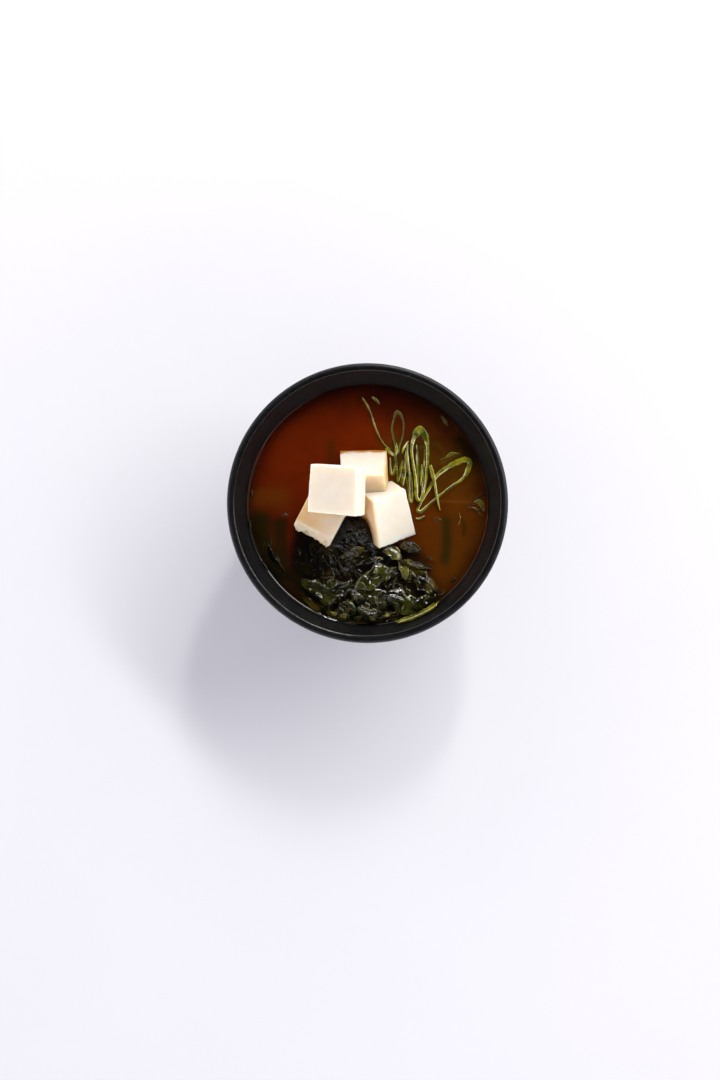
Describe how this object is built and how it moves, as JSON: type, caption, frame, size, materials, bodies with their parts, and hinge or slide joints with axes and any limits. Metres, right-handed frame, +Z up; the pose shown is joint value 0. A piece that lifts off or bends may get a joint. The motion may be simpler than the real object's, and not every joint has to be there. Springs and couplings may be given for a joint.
{
  "type": "miso soup",
  "caption": "Miso soup in a round black bowl on a foot ring, with piled tofu blocks, dark wakame leaves and long slant-cut scallion rings.",
  "frame": {"origin": "middle of the bowl's foot ring, on its underside", "axes": "+Z up out of the bowl, +Y towards the scallion at the back, +X to the right of the wakame at the front"},
  "size_m": [0.1198, 0.12, 0.0851],
  "materials": {
    "black_glaze": "matte black glaze, finely pebbled",
    "miso_broth": "wet, reddish brown and slightly cloudy",
    "tofu": "smooth, moist and faintly translucent",
    "wakame": "wet and glossy, nearly black green",
    "wakame_olive": "wet and glossy, olive where it is thin",
    "scallion": "moist yellow green with a pale inner edge"
  },
  "bodies": {
    "root": {"bowl": "black_glaze", "tofu_right": "tofu", "tofu_back": "tofu", "tofu_left": "tofu", "tofu_top": "tofu", "wakame_heap": "wakame", "leaf_left_edge": "wakame", "leaf_left_inner": "wakame", "leaf_left_low": "wakame", "leaf_front_left": "wakame", "leaf_keeled": "wakame", "leaf_middle": "wakame", "leaf_broad": "wakame", "leaf_triangle": "wakame", "leaf_front_right": "wakame", "leaf_rim_right": "wakame", "leaf_folded": "wakame", "leaf_curl": "wakame_olive", "leaf_highlit": "wakame", "leaf_pod": "wakame_olive", "leaf_pale": "wakame_olive", "leaf_dark_right": "wakame", "leaf_strip": "wakame", "scallion_ring_back": "scallion", "scallion_strand": "scallion", "scallion_chip_back": "scallion", "scallion_chip_edge": "scallion", "scallion_hook": "scallion", "scallion_strip_1": "scallion", "scallion_strip_2": "scallion", "scallion_ring_inner": "scallion", "scallion_ring_right": "scallion", "scallion_ring_large": "scallion", "scallion_strip_3": "scallion", "scallion_strand_right": "scallion", "scallion_strip_low": "scallion", "scallion_tip_edge": "scallion", "scallion_sliver": "scallion", "soup": "miso_broth"}
  },
  "joints": []
}
